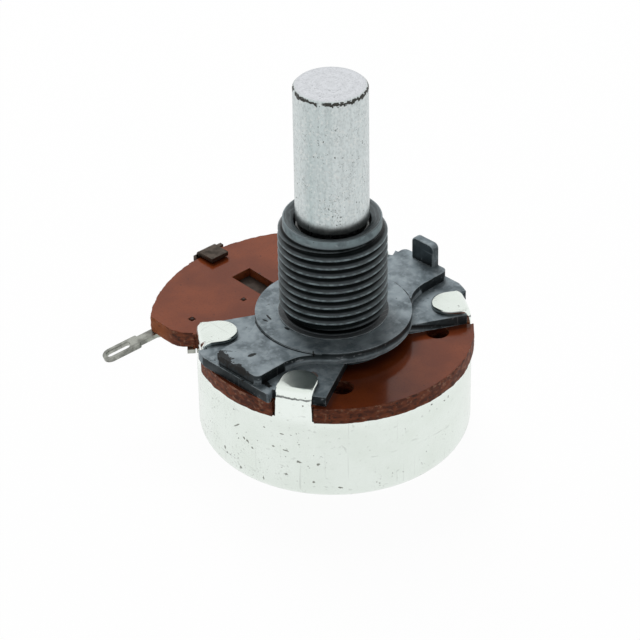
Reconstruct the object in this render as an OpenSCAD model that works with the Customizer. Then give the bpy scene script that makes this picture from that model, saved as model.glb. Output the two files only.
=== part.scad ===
// Rotary potentiometer with a threaded bushing, a round shaft and three solder terminals.
// The origin is on the shaft's axis at the mounting face. +Z runs out along the shaft,
// the terminals lie toward -Y and the locating lug toward -X.

/* [Shaft] */
// Diameter of the shaft
shaft_d = 6.35; // [5.8:0.05:6.5]
// Height of the shaft's end above the mounting face
shaft_top = 22.225; // [14:0.5:60]
// Chamfer at the shaft's end
shaft_chamfer = 0.25; // [0.1:0.05:0.8]
// Distance between the two flats of the drive end
drive_flats = 4.6; // [4:0.1:5.2]
// Length of the drive end under the rotor
drive_overrun = 0.8; // [0.2:0.1:1.5]
// Depth of the grease groove at the bushing's mouth
grease_depth = 0.225; // [0.2:0.025:0.4]
// Height of the grease groove
grease_h = 0.7; // [0.6:0.05:0.9]
// Radial clearance of the shaft in the bushing
running = 0.05; // [0.02:0.01:0.08]

/* [Bushing] */
// Height of the bushing above the mounting face
bushing_h = 9.525; // [7:0.1:14]
// Diameter over the thread
thread_d = 9.4; // [9:0.05:9.6]
// Distance from one turn of the thread to the next
pitch = 0.79375; // [0.7:0.01:0.85]
// Width of the thread's crests
crest_w = 0.3; // [0.25:0.05:0.35]
// Diameter of the plain pilot above the thread
pilot_d = 8.52; // [8.2:0.02:8.8]
// Height of the pilot
pilot_h = 0.8; // [0.5:0.1:1.5]
// Height of the plain relief under the thread
relief_h = 0.7; // [0.4:0.1:1.2]
// Diameter of the collar at the bushing's foot
collar_d = 9.6; // [9.5:0.05:9.8]
// Height of the collar
collar_h = 0.12; // [0.1:0.01:0.15]
// Diameter of the mouth's countersink at the top
mouth_d = 7.9; // [7.4:0.1:8.1]
// Diameter of the countersink at its bottom
mouth_floor_d = 6.8; // [6.7:0.05:7.2]
// Depth of the countersink
mouth_depth = 0.6; // [0.3:0.05:0.7]

/* [Bushing plate] */
// Angle by which the plate is turned on the can, as it was put together
plate_turn = 2.5; // [0:0.5:3]
// Diameter of the round flange
flange_d = 13.6; // [13:0.1:14.2]
// Thickness of the flange
flange_h = 1.1; // [0.9:0.1:1.3]
// How far the arms lie under the flange's face
arm_drop = 0.15; // [0.05:0.05:0.3]
// Width of the raised arms
arm_w = 5.2; // [4.6:0.1:5.6]
// How far each arm ends inside the can's outline
arm_inset = 0.35; // [0.2:0.05:0.6]
// Radius of the arms' corners
arm_corner = 0.5; // [0.2:0.1:0.9]
// Radius of the hollow between an arm and the flange
arm_hollow = 4; // [3:0.25:4.5]
// Thickness of the base under the arms
base_h = 0.9; // [0.7:0.1:1.1]
// How far each end of the base lies inside the can's outline
base_inset = 0.15; // [0.05:0.05:0.2]
// How far the base reaches past the can's radius
base_over = 0.45; // [0.3:0.05:0.6]
// Angle of the base's sides
base_angle = 28; // [26:0.5:30]
// Distance of the base's sides from the axis
base_offset = 2.83; // [2.6:0.05:3.1]
// Diameter of the hub under the flange
hub_d = 11.6; // [11.4:0.1:12]
// Diameter of the pocket under the hub
pocket_d = 10.4; // [10.2:0.1:10.8]
// Depth of the pocket
pocket_h = 0.6; // [0.4:0.1:0.7]
// Width of the locating lug
lug_w = 2.6; // [2.2:0.05:3.2]
// How far the lug's middle lies off the arm's middle line
lug_shift = 0.12; // [0:0.02:0.3]
// Distance of the lug's inner face from the arm's end
lug_inset = 0.65; // [0.6:0.05:0.8]
// Thickness of the locating lug
lug_t = 0.78; // [0.7:0.02:1.1]
// Height of the lug's end above the mounting face
lug_top = 2; // [1.5:0.1:2.6]
// Radius of the lug's corners
lug_corner = 0.5; // [0.2:0.1:0.9]

/* [Wafer] */
// Thickness of the wafer
wafer_h = 1.5; // [1.2:0.1:1.7]
// How far the wafer's round reaches past the can's radius
wafer_over = 0.25; // [0.15:0.05:0.4]
// Diameter of the wafer's middle hole
wafer_bore = 10.8; // [10.5:0.1:11]
// How far the lobe's end reaches past the can's radius
lobe_over = 4.9; // [4.2:0.05:5.5]
// Radius of the lobe's end
lobe_r = 14.5; // [14:0.1:15]
// How far each side of the lobe lies inside the can's radius
lobe_inset = 1.53; // [1.2:0.01:1.7]
// Radius of the lobe's outer corners
lobe_corner = 0.6; // [0.3:0.1:1.2]
// Radius of the lobe's inner corners
lobe_nose = 2.2; // [1.8:0.1:2.4]
// Angle from +X at which the lobe leaves the round
lobe_start = 40; // [38:0.5:41]
// Width of the slot for the centre strip
slot_w = 2.05; // [1.9:0.05:2.4]
// Distance of the slot's outer end from the axis
slot_out = 12.3; // [12:0.1:13]
// Distance of the slot's inner end from the axis
slot_in = 7.4; // [7.3:0.1:8]
// Diameter of the two riveting holes
hole_d = 2; // [1.6:0.1:2.4]
// Distance of the riveting holes from the axis
hole_r = 9; // [8.6:0.1:9.4]

/* [Can] */
// Outer diameter of the can
can_d = 23.9; // [23.6:0.1:24.4]
// Height of the can from its rim to its bottom
can_h = 8.3; // [8:0.1:14]
// Thickness of the sheet
sheet = 0.45; // [0.4:0.01:0.5]
// Outer radius of the bottom edge
can_corner = 1.5; // [0.8:0.1:2.5]
// Width of the four tabs
tab_w = 3.25; // [3:0.05:3.8]
// Distance of the tabs' tips from the axis
tab_tip = 8.5; // [8.3:0.05:8.8]
// Outer radius of the tabs' bends
tab_bend = 0.75; // [0.6:0.05:0.9]
// Gap beside each tab in the plate and the wafer
tab_gap = 0.35; // [0.2:0.05:0.5]
// How far the middle of the pressed stop lies inside the can's outline
stop_inset = 0.35; // [0.3:0.05:0.5]
// Outer radius of the stop pressed into the wall
stop_r = 2.2; // [1.8:0.1:2.5]
// Height of the stop
stop_h = 2.4; // [2.2:0.1:2.8]

/* [Terminals] */
// Thickness of the terminals
term_t = 0.4; // [0.3:0.05:0.45]
// Width of the centre strip
strip_w = 1.9; // [1.6:0.05:1.9]
// Width of the centre terminal at the lobe's edge
clinch_w = 3.2; // [2.8:0.1:4]
// How far the shoulders' middle lies off the strip's middle line
clinch_shift = -0.3; // [-0.4:0.05:0.4]
// Length of the ear that is folded over the lobe's edge
clinch_in = 1.75; // [1.4:0.05:2.2]
// Gap between the ear and the wafer
clinch_gap = 0.15; // [0.05:0.05:0.2]
// Length of the solder lugs outside the wafer
solder_len = 5.05; // [4.2:0.1:6]
// Width of a solder lug's neck
solder_neck = 1; // [0.8:0.05:1.2]
// Width of a solder lug's eye
solder_eye = 1.5; // [1.4:0.05:2]
// Width of the slotted hole in the eye
eye_slot = 0.85; // [0.6:0.05:0.95]
// Angle by which the outer lugs slope down
solder_slope = 17.5; // [10:1:30]
// Angle in plan of the outer lugs from the X axis
solder_dir = 21.5; // [12:1:30]
// Angle by which the centre lug slopes down
centre_slope = 60; // [50:1:75]
// Side of the prongs staked through the wafer
prong = 0.35; // [0.3:0.05:0.5]
// How far the inner prongs lie outside the tongues' inner ends
prong_in = 0.66; // [0.4:0.02:0.9]
// How far the outer prongs lie outside the bands' inner edges
prong_out = 0.43; // [0.25:0.01:0.5]
// How far outside the bands the outer lugs bend down
solder_out = 3.11; // [3:0.01:3.3]
// Width of the outer terminals' tongues
tongue_w = 1.1; // [0.8:0.05:1.3]
// How far the tongues end outside the track's inner edge
tongue_short = 0.4; // [0.2:0.05:0.6]
// Gap between the can's wall and the outer terminals' bands
band_gap = 0.1; // [0.05:0.05:0.2]
// Width of the bands
band_w = 0.7; // [0.5:0.05:0.9]
// Height of the centre strip's joggle in the slot
joggle_h = 0.8; // [0.5:0.05:1]
// Gap around the terminals in the can's rim
slit_room = 0.3; // [0.2:0.05:0.4]

/* [Element] */
// Gap between the resistive track and the can's wall
track_clear = 1.1; // [1:0.05:1.3]
// Width of the resistive track
track_w = 2.2; // [1.9:0.05:2.3]
// Thickness of the track and its end pads
track_t = 0.1; // [0.1:0.05:0.2]
// Angle of the gap in the track on either side of -Y
track_gap = 36; // [34:1:38]
// Angle covered by each end pad
pad_angle = 10; // [8:1:12]
// Gap between the collector ring and the wafer's middle hole
collector_clear = 0.2; // [0.1:0.05:0.3]
// Width of the collector ring
collector_w = 1.6; // [1.4:0.05:1.65]
// Thickness of the collector ring
collector_t = 0.3; // [0.2:0.05:0.3]

/* [Rotor] */
// Travel of the shaft in degrees
travel = 300; // [280:5:300]
// Gap between the rotor's stop lug and the can's wall
stop_room = 0.6; // [0.5:0.05:0.9]
// How far the stop lug stands out of the rotor's disc
stop_reach = 1.9; // [1.7:0.1:2.2]
// Thickness of the rotor's disc
rotor_h = 1.6; // [1.4:0.1:1.8]
// Radius of the rotor's hub
rotor_hub_r = 4.6; // [4.3:0.05:4.7]
// Room between the rotor's disc and the wafer
rotor_room = 2.7; // [2.5:0.1:3]
// Clearance of the rotor on the drive end
rotor_fit = 0.02; // [0.01:0.01:0.04]
// Gap between the stop lug and the stop at the ends of the travel
stop_gap = 0.1; // [0.05:0.05:0.2]
// Thickness of the wiper spring
spring_t = 0.25; // [0.2:0.05:0.3]
// Width of the wiper's arms
arm_width = 1.3; // [1:0.1:1.5]
// Room between the spring's base and the rotor's hub
spring_gap = 0.2; // [0.1:0.05:0.4]
// How far the spring's base ends inside the rotor's edge
spring_inset = 0.8; // [0.5:0.05:1]
// Diameter of the rivets
rivet_d = 1; // [0.8:0.05:1.2]
// How far a rivet's head stands out round its shank
rivet_rim = 0.4; // [0.3:0.05:0.5]
// Height of the rivets' heads above the spring
head_top_h = 0.4; // [0.3:0.05:0.5]
// Height of the rivets' heads under the rotor
head_low_h = 0.3; // [0.2:0.05:0.4]
// Radius of the contacts
contact_r = 0.6; // [0.5:0.05:0.65]
// Height of the contacts
contact_h = 0.9; // [0.7:0.05:1]
// Gap between each contact and what it slides on
contact_gap = 0.05; // [0.03:0.01:0.1]

/* [Stack] */
// Thickness of the thrust washer
thrust_t = 0.3; // [0.25:0.05:0.35]
// Thickness of the bowed washer
bowed_t = 0.2; // [0.15:0.05:0.25]
// Height by which the bowed washer is bowed
bow = 0.35; // [0.3:0.05:0.4]
// Thickness of the retaining ring
ring_t = 0.6; // [0.5:0.05:0.7]
// Outer radius of the washers and the retaining ring
ring_r = 4.6; // [4.3:0.05:4.7]
// Depth of the retaining ring's groove in the shaft
ring_groove = 0.6; // [0.4:0.05:0.7]
// Gap between the pieces of the stack
stack_gap = 0.03; // [0.02:0.01:0.05]

/* [Hidden] */
$fn = 96;
tiny = 0.01;
far = 40;

// Angles of the can's tabs, and how much shorter each one is folded than the first
TABS = [[30.9, 0], [149.1, 0.2], [-149.7, 0], [-30.3, -0.05]];

shaft_r = shaft_d / 2;
bore_r = shaft_r + running;
thread_r = thread_d / 2;
thread_angle = 60;
pilot_r = pilot_d / 2;
flange_r = flange_d / 2;
can_r = can_d / 2;
can_in = can_r - sheet;
arm_span = can_d - 2 * arm_inset;
base_span = can_d - 2 * base_inset;
lug_face = arm_span / 2 - lug_inset;
base_r = can_r + base_over;
wafer_r = can_r + wafer_over;
lobe_end = can_r + lobe_over;
lobe_half = can_r - lobe_inset;
notch_r = can_in - 0.05;

// Levels from the mounting face down
arm_top = -arm_drop;
base_top = -flange_h;
base_floor = base_top - base_h;
wafer_floor = base_floor - wafer_h;
rim = wafer_floor;
can_floor = rim - can_h;
pocket_top = base_floor + pocket_h;
thrust_top = pocket_top - stack_gap;
bowed_top = thrust_top - thrust_t - stack_gap;
ring_top = bowed_top - bowed_t - bow - stack_gap;
ring_floor = ring_top - ring_t;
groove_top = ring_top + stack_gap / 2;
groove_floor = ring_floor - stack_gap / 2;
hub_top = ring_floor - 2 * stack_gap;
rotor_top = wafer_floor - rotor_room;
rotor_floor = rotor_top - rotor_h;
shaft_floor = rotor_floor - drive_overrun;
spring_top = rotor_top + spring_t;

track_out = can_in - track_clear;
track_in = track_out - track_w;
collector_in = wafer_bore / 2 + collector_clear;
collector_out = collector_in + collector_w;

// Centre of the lobe's outer corner, which touches the lobe's end and its side from inside
lobe_y = lobe_r - lobe_end;
corner_x = lobe_half - lobe_corner;
corner_y = lobe_y - sqrt(pow(lobe_r - lobe_corner, 2) - corner_x * corner_x);
corner_a = atan2(corner_y - lobe_y, corner_x);
// The lobe's inner edge runs at 45 degrees, where x + y is this sum
edge_sum = wafer_r * (cos(lobe_start) - sin(lobe_start));
nose_x = lobe_half - lobe_nose;
nose_y = edge_sum - lobe_nose * sqrt(2) - nose_x;

// The rotor's stop lug meets the pressed stop at both ends of the travel
rotor_stop_r = can_in - stop_room;
rotor_r = rotor_stop_r - stop_reach;
stop_axis = can_r - stop_inset;
stop_low = (rotor_top + rotor_floor) / 2 - stop_h / 2;
lug_half = 180 - travel / 2 - asin((stop_r + stop_gap) / stop_axis);

// Levels of the contacts and of the pads that carry them
track_level = wafer_floor - track_t - contact_gap;
collector_level = wafer_floor - collector_t - contact_gap;
track_mid = (track_in + track_out) / 2;
collector_mid = (collector_in + collector_out) / 2;
RIVETS = [-62, -118];
rivet_r = rivet_d / 2;
spring_in = rotor_hub_r + spring_gap;
spring_out = rotor_r - spring_inset;
rivet_path = (spring_in + spring_out) / 2;
arm_lift = 0.05;
lug_step = 0.05;
// Angles at which the spring's base ends, and at which its two arms start
BASE_ENDS = [30, 170];
ARM_ROOTS = [175, 21];

// Outer terminals: angles from +X of the band outside the can and of the tongue inside it
band_in = can_r + band_gap;
band_out = band_in + band_w;
band_from = -79;
band_to = -38.5;
tongue_a = -73;
tongue_in = track_in + tongue_short;
tongue_root = track_out - tongue_short;
solder_at = on(band_out + solder_out, -50);
PRONGS = [on(tongue_in + prong_in, -73.4), on(band_in + prong_out, -50.3)];

function on(r, a) = [r * cos(a), r * sin(a)];

// A flat ring between two radii and two levels
module ring(r_in, r_out, z_low, z_top) {
    translate([0, 0, z_low]) difference() {
        cylinder(r = r_out, h = z_top - z_low);
        translate([0, 0, -tiny]) cylinder(r = r_in, h = z_top - z_low + 2 * tiny);
    }
}

// A piece of a flat ring between two angles less than 180 degrees apart
module ring_piece(r_in, r_out, a0, a1, z_low, z_top) {
    rotate([0, 0, a0]) translate([0, 0, z_low]) rotate_extrude(angle = a1 - a0)
        translate([r_in, 0]) square([r_out - r_in, z_top - z_low]);
}

// Copies in the four quarters of the plan
module quarters() {
    for (side = [0, 1], end = [0, 1])
        mirror([side, 0, 0]) mirror([0, end, 0]) children();
}

// A rectangle with round corners
module plate_2d(w, h, r) {
    square([w - 2 * r, h], center = true);
    square([w, h - 2 * r], center = true);
    quarters() translate([w / 2 - r, h / 2 - r]) circle(r);
}

// Plan of the flange with its two raised arms and the hollows between them
module arms_2d() {
    hollow_y = arm_w / 2 + arm_hollow;
    hollow_x = sqrt(pow(flange_r + arm_hollow, 2) - hollow_y * hollow_y);
    meet = flange_r / (flange_r + arm_hollow);
    circle(flange_r - tiny);
    plate_2d(arm_span, arm_w, arm_corner);
    quarters() difference() {
        polygon([[0, 0], [hollow_x, 0], [hollow_x, arm_w / 2], [hollow_x, hollow_y],
            [hollow_x * meet, hollow_y * meet]]);
        translate([hollow_x, hollow_y]) circle(arm_hollow);
    }
}

// Plan of the base: a bow tie in the can's outline, open where the tabs pass
module base_2d() {
    side = base_span / 2;
    waist = base_offset / cos(base_angle);
    height = waist + side * tan(base_angle);
    circle(hub_d / 2);
    intersection() {
        circle(base_r);
        for (end = [0, 1]) mirror([end, 0])
            polygon([[0, waist], [0, -waist], [side, -height], [side, height]]);
    }
}

// Room for a tab in the plate, open on the side away from the arm
module tab_room() {
    for (t = TABS) {
        away = sin(t[0]) * cos(t[0]) > 0 ? 1 : -1;
        rotate([0, 0, t[0]]) translate([notch_r, away > 0 ? -tab_w / 2 - tab_gap : -far / 8])
            square([far / 8, far / 8 + tab_w / 2 + tab_gap]);
    }
}

// Section of the bushing: relief, thread as level rings at its pitch, and pilot
module bushing_2d() {
    groove_w = pitch - crest_w;
    groove_h = groove_w / 2 / tan(thread_angle / 2);
    thread_top = bushing_h - pilot_h;
    first = relief_h + crest_w;
    turns = floor((thread_top - relief_h) / pitch);
    grooves = [for (z = [first : pitch : first + (turns - 0.5) * pitch]) each
        [[thread_r, z], [thread_r - groove_h, z + groove_w / 2], [thread_r, z + groove_w]]];
    polygon(concat([[0, 0], [pilot_r, 0], [pilot_r, relief_h], [thread_r, relief_h]], grooves,
        [[thread_r, thread_top], [pilot_r, thread_top], [pilot_r, bushing_h], [0, bushing_h]]));
}

// Zinc die casting: bushing, flange, arms, base and locating lug
module bushing_plate() {
    color("slategray") difference() {
        union() {
            rotate_extrude() bushing_2d();
            cylinder(d = collar_d, h = collar_h);
            translate([0, 0, base_top]) cylinder(r = flange_r, h = flange_h);
            rotate([0, 0, plate_turn]) {
                translate([0, 0, base_top]) linear_extrude(arm_top - base_top) arms_2d();
                locating_lug();
            }
            translate([0, 0, base_floor]) linear_extrude(base_h) difference() {
                rotate([0, 0, plate_turn]) base_2d();
                tab_room();
            }
        }
        translate([0, 0, base_floor - tiny]) cylinder(r = bore_r, h = bushing_h - base_floor + 1);
        translate([0, 0, base_floor - tiny]) cylinder(r = pocket_d / 2, h = pocket_h + tiny);
        translate([0, 0, bushing_h - mouth_depth])
            cylinder(r1 = mouth_floor_d / 2, r2 = mouth_d / 2, h = mouth_depth);
        translate([0, 0, bushing_h - tiny]) cylinder(r = mouth_d / 2, h = 1);
    }
}

module locating_lug() {
    height = lug_top - base_floor;
    translate([-lug_face - lug_t, lug_shift, base_floor + height / 2]) rotate([90, 0, 90])
        linear_extrude(lug_t) difference() {
            square([lug_w, height], center = true);
            for (side = [-1, 1])
                translate([side * (lug_w / 2 - lug_corner), height / 2 - lug_corner]) difference() {
                    translate([side > 0 ? 0 : -lug_corner - 1, 0]) square(lug_corner + 1);
                    circle(lug_corner);
                }
        }
}

// Turned steel shaft with its two grooves and the drive end
module shaft() {
    color("silver") difference() {
        union() {
            translate([0, 0, groove_floor])
                cylinder(r = shaft_r, h = shaft_top - shaft_chamfer - groove_floor);
            translate([0, 0, shaft_top - shaft_chamfer])
                cylinder(r1 = shaft_r, r2 = shaft_r - shaft_chamfer, h = shaft_chamfer);
            drive_end(0, shaft_floor, groove_floor);
        }
        ring(shaft_r - grease_depth, shaft_r + 1, bushing_h - mouth_depth - 0.15,
            bushing_h - mouth_depth - 0.15 + grease_h);
        ring(shaft_r - ring_groove, shaft_r + 1, groove_floor, groove_top);
    }
}

// Round bar with two flats, grown by a clearance
module drive_end(grow, z_low, z_top) {
    flats = drive_flats + 2 * grow;
    translate([0, 0, z_low]) intersection() {
        cylinder(r = shaft_r + grow, h = z_top - z_low);
        translate([-far / 2, -flats / 2, 0]) cube([far, flats, z_top - z_low]);
    }
}

module thrust_washer() {
    color("silver") ring(shaft_r + 2 * running, ring_r, thrust_top - thrust_t, thrust_top);
}

// Spring washer bowed about the X axis
module bowed_washer() {
    reach = ring_r - 0.1;
    bow_r = (reach * reach + bow * bow) / (2 * bow);
    color("dimgray") intersection() {
        ring(shaft_r + 2 * running, reach, bowed_top - bow - bowed_t - 1, bowed_top + 1);
        translate([-far / 2, 0, bowed_top - bow_r]) rotate([0, 90, 0]) difference() {
            cylinder(r = bow_r, h = far);
            translate([0, 0, -tiny]) cylinder(r = bow_r - bowed_t, h = far + 2 * tiny);
        }
    }
}

// Horseshoe ring, pushed on from the side
module retaining_ring() {
    neck = shaft_r - ring_groove;
    color("dimgray") difference() {
        ring(neck + stack_gap / 2, ring_r, ring_floor, ring_top);
        translate([-neck + stack_gap, 0, ring_floor - 1]) cube([2 * (neck - stack_gap), far, ring_t + 2]);
    }
}

// Plan of the lobe's right half, outside the round of the wafer
module lobe_half_2d() {
    intersection() {
        translate([0, lobe_y]) circle(lobe_r);
        polygon([[0, 0], [0, -far], [0, lobe_y] + on(far, corner_a), [corner_x, corner_y]]);
    }
    translate([corner_x, corner_y]) circle(lobe_corner);
    translate([nose_x, nose_y]) circle(lobe_nose);
    polygon([[0, 0], [corner_x, corner_y], [lobe_half, corner_y], [lobe_half, nose_y],
        [nose_x, nose_y] + on(lobe_nose, 45), on(wafer_r, -lobe_start)]);
}

// Paper phenolic wafer with its lobe, slot, holes and tab notches
module wafer() {
    color("sienna") translate([0, 0, wafer_floor]) linear_extrude(wafer_h) difference() {
        union() {
            circle(wafer_r);
            lobe_half_2d();
            mirror([1, 0]) lobe_half_2d();
        }
        circle(wafer_bore / 2);
        translate([-slot_w / 2, -slot_out]) square([slot_w, slot_out - slot_in]);
        for (a = [52, 133]) translate(on(hole_r, a)) circle(hole_d / 2);
        for (t = TABS) rotate([0, 0, t[0]]) translate([notch_r, -tab_w / 2 - tab_gap / 2])
            square([far / 4, tab_w + tab_gap]);
        for (side = [0, 1], p = PRONGS) mirror([side, 0])
            translate(p) square(prong + 0.1, center = true);
    }
}

// Section of a cup with a round bottom edge, from the axis out
module cup_2d(r, low, corner, top) {
    translate([0, low + corner]) square([r, top - low - corner]);
    translate([0, low]) square([r - corner, corner]);
    translate([r - corner, low + corner]) circle(corner);
}

// Section of the sheet: bottom, wall, and above the rim the tabs' bend and inward fold
module sheet_2d() {
    fold_top = base_top + sheet;
    bend = [can_r - tab_bend, fold_top - tab_bend];
    difference() {
        cup_2d(can_r, can_floor, can_corner, bend[1]);
        cup_2d(can_in, can_floor + sheet, can_corner - sheet, bend[1] + 1);
    }
    translate([tab_tip - sheet, base_top]) square([bend[0] - tab_tip + sheet, sheet]);
    translate(bend) intersection() {
        difference() {
            circle(tab_bend);
            circle(tab_bend - sheet);
        }
        square(tab_bend);
    }
}

// Upright prism over one tab, with a full-round tip
module tab_prism(angle, tip) {
    rotate([0, 0, angle]) linear_extrude(far / 2) {
        translate([tip + tab_w / 2, 0]) circle(tab_w / 2);
        translate([tip + tab_w / 2, -tab_w / 2]) square([can_r, tab_w]);
    }
}

// Room for the terminals where they cross the can's rim
module rim_slits() {
    low = rim - term_t - slit_room;
    translate([-strip_w / 2 - slit_room, -can_r - 1, low])
        cube([strip_w + 2 * slit_room, 3, rim - low + tiny]);
    for (side = [0, 1]) mirror([side, 0, 0]) rotate([0, 0, tongue_a])
        translate([can_in - 1, -tongue_w / 2 - slit_room, low])
            cube([3, tongue_w + 2 * slit_room, rim - low + tiny]);
}

// Drawn steel cup with four folded tabs and a stop pressed in at -Y
module can() {
    color("gainsboro") difference() {
        union() {
            rotate_extrude() sheet_2d();
            translate([0, -stop_axis, stop_low]) intersection() {
                cylinder(r = stop_r, h = stop_h);
                translate([0, stop_axis, 0]) cylinder(r = can_r - sheet / 2, h = stop_h);
            }
        }
        translate([0, 0, rim]) difference() {
            cylinder(r = can_r + 1, h = far / 4);
            for (t = TABS) translate([0, 0, -1]) tab_prism(t[0], tab_tip + t[1]);
        }
        translate([0, -stop_axis, stop_low - tiny])
            cylinder(r = stop_r - sheet, h = stop_h + 2 * tiny);
        rim_slits();
    }
}

module resistive_track() {
    color("black") difference() {
        ring(track_in, track_out, wafer_floor - track_t, wafer_floor);
        translate([0, 0, wafer_floor - far / 2]) linear_extrude(far)
            polygon([[0, 0], on(far, -90 - track_gap), on(far, -90 + track_gap)]);
    }
}

// Silver pad at one end of the track, which the outer terminal touches
module track_end() {
    ring_piece(track_in, track_out, -90 + track_gap - pad_angle, -90 + track_gap,
        wafer_floor - track_t, wafer_floor);
}

module track_end_right() {
    color("whitesmoke") track_end();
}

module track_end_left() {
    color("whitesmoke") mirror([1, 0, 0]) track_end();
}

module collector_ring() {
    color("whitesmoke")
        ring(collector_in, collector_out, wafer_floor - collector_t, wafer_floor);
}

// Flat solder lug along +X: neck, shoulders and an eye with a slotted hole
module solder_lug(len) {
    eye_r = solder_eye / 2;
    slot_len = len * 0.46;
    linear_extrude(term_t) difference() {
        union() {
            translate([0, -solder_neck / 2]) square([len / 2, solder_neck]);
            translate([len - slot_len - eye_r, 0]) plate_2d(eye_r, solder_eye, 0.2);
            translate([len - slot_len - eye_r, -eye_r]) square([slot_len, solder_eye]);
            translate([len - eye_r, 0]) circle(eye_r);
        }
        translate([len - eye_r - slot_len + eye_slot, -eye_slot / 2])
            square([slot_len - eye_slot, eye_slot]);
        for (x = [len - eye_r, len - eye_r - slot_len + eye_slot])
            translate([x, 0]) circle(eye_slot / 2);
    }
}

// Plan of the outer terminal's flat part: band under the lobe, root of the tongue, and leg
module outer_2d() {
    leg = norm(solder_at) - band_in + band_w / 3;
    intersection() {
        difference() {
            circle(band_out);
            circle(band_in);
        }
        polygon([[0, 0], on(far, band_from), on(far, band_to)]);
    }
    rotate(tongue_a) translate([tongue_root, -tongue_w / 2])
        square([band_in + tongue_short - tongue_root, tongue_w]);
    translate(solder_at) rotate(-solder_dir) translate([-leg, -solder_neck / 2])
        square([leg, solder_neck]);
}

// Outer terminal: flat part, tongue to the track's end, prongs and solder lug
module outer_terminal() {
    top = wafer_floor;
    translate([0, 0, top - term_t]) linear_extrude(term_t) outer_2d();
    rotate([0, 0, tongue_a]) translate([tongue_in, -tongue_w / 2, top - term_t - track_t])
        cube([track_out - tongue_in, tongue_w, term_t]);
    rotate([0, 0, tongue_a]) translate([tongue_root, -tongue_w / 2, top - term_t - track_t])
        cube([tongue_short, tongue_w, term_t + track_t]);
    for (p = PRONGS) translate([p[0] - prong / 2, p[1] - prong / 2, top - term_t])
        cube([prong, prong, term_t + wafer_h]);
    translate([solder_at[0], solder_at[1], top]) rotate([0, 0, -solder_dir])
        rotate([0, solder_slope, 0]) translate([0, 0, -term_t]) solder_lug(solder_len);
}

module terminal_right() {
    color("gray") outer_terminal();
}

module terminal_left() {
    color("gray") mirror([1, 0, 0]) outer_terminal();
}

// Section in Y and Z of the centre strip: collector end, joggle up into the slot, and wall
module strip_2d() {
    low = wafer_floor - collector_t;
    top = wafer_floor + joggle_h;
    in_y = slot_in + 0.3;
    out_y = slot_out - 0.05;
    edge_y = lobe_end + 0.05;
    polygon([[-collector_in, low], [-in_y, low], [-in_y, top], [-out_y, top],
        [-out_y, wafer_floor], [-edge_y, wafer_floor], [-edge_y, base_floor],
        [-edge_y - term_t, base_floor], [-edge_y - term_t, wafer_floor - term_t],
        [-out_y + term_t, wafer_floor - term_t], [-out_y + term_t, top - term_t],
        [-in_y - term_t, top - term_t], [-in_y - term_t, low - term_t], [-collector_in, low - term_t]]);
}

// Section of the ear: bend over the lobe's edge and flat end
module ear_2d() {
    bend_y = lobe_end + 0.05 - clinch_gap;
    translate([-bend_y, base_floor]) intersection() {
        difference() {
            circle(clinch_gap + term_t);
            circle(clinch_gap);
        }
        translate([-1, 0]) square(1);
    }
    translate([-bend_y - tiny, base_floor + clinch_gap]) square([bend_y - lobe_end + clinch_in, term_t]);
}

// Centre terminal: strip in the slot, clinched over the lobe's edge, with its lug bent down
module terminal_centre() {
    edge_y = lobe_end + 0.05;
    color("gray") {
        rotate([90, 0, 90]) translate([0, 0, -strip_w / 2]) linear_extrude(strip_w) {
            strip_2d();
            ear_2d();
        }
        translate([clinch_shift - clinch_w / 2, -edge_y - term_t, wafer_floor - term_t])
            cube([clinch_w, term_t, wafer_h + term_t + clinch_gap / 2]);
        translate([0, -edge_y + tiny, wafer_floor - term_t]) rotate([0, 0, -90])
            rotate([0, centre_slope, 0]) solder_lug(solder_len);
    }
}

// Moulded rotor: hub on the drive end, disc and stop lug
module rotor() {
    color("saddlebrown") difference() {
        union() {
            translate([0, 0, rotor_floor]) cylinder(r = rotor_r, h = rotor_h);
            translate([0, 0, rotor_floor]) cylinder(r = rotor_hub_r, h = hub_top - rotor_floor);
            ring_piece(rotor_r - 1, rotor_stop_r, 90 - lug_half, 90 + lug_half,
                rotor_floor + lug_step, rotor_top - lug_step);
        }
        drive_end(rotor_fit, rotor_floor - tiny, hub_top + tiny);
        for (a = RIVETS) translate([0, 0, rotor_floor - tiny])
            translate(on(rivet_path, a)) cylinder(r = rivet_r, h = rotor_h + 2 * tiny);
    }
}

// One arm of the wiper spring: strip that slopes up out of the base, and flat pad
module wiper_arm(from, to, level) {
    pad_top = level - contact_h;
    run = norm(to - from);
    pad_from = run - contact_r - spring_t;
    pad_to = run + contact_r;
    translate([from[0], from[1], 0]) rotate([90, 0, atan2(to[1] - from[1], to[0] - from[0])])
        translate([0, 0, -arm_width / 2]) linear_extrude(arm_width)
            polygon([[0, rotor_top + arm_lift], [pad_from, pad_top - spring_t],
                [pad_to, pad_top - spring_t], [pad_to, pad_top], [pad_from, pad_top],
                [0, spring_top + arm_lift]]);
}

// Sheet spring: base on the rotor and one arm for each contact
module wiper_spring() {
    color("goldenrod") difference() {
        union() {
            difference() {
                ring(spring_in, spring_out, rotor_top, spring_top);
                translate([0, 0, rotor_top - far / 2]) linear_extrude(far)
                    polygon([[0, 0], on(far, BASE_ENDS[0]), on(far, 90), on(far, BASE_ENDS[1])]);
            }
            wiper_arm(on(rivet_path, ARM_ROOTS[0]), [0, track_mid], track_level);
            wiper_arm(on(rivet_path, ARM_ROOTS[1]), [0, collector_mid], collector_level);
        }
        for (a = RIVETS) translate([0, 0, rotor_top - tiny])
            translate(on(rivet_path, a)) cylinder(r = rivet_r, h = spring_t + 2 * tiny);
    }
}

module contact(radius, level) {
    translate([0, radius, level - contact_h]) cylinder(r = contact_r, h = contact_h);
}

module track_contact() {
    color("black") contact(track_mid, track_level);
}

module collector_contact() {
    color("black") contact(collector_mid, collector_level);
}

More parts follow.
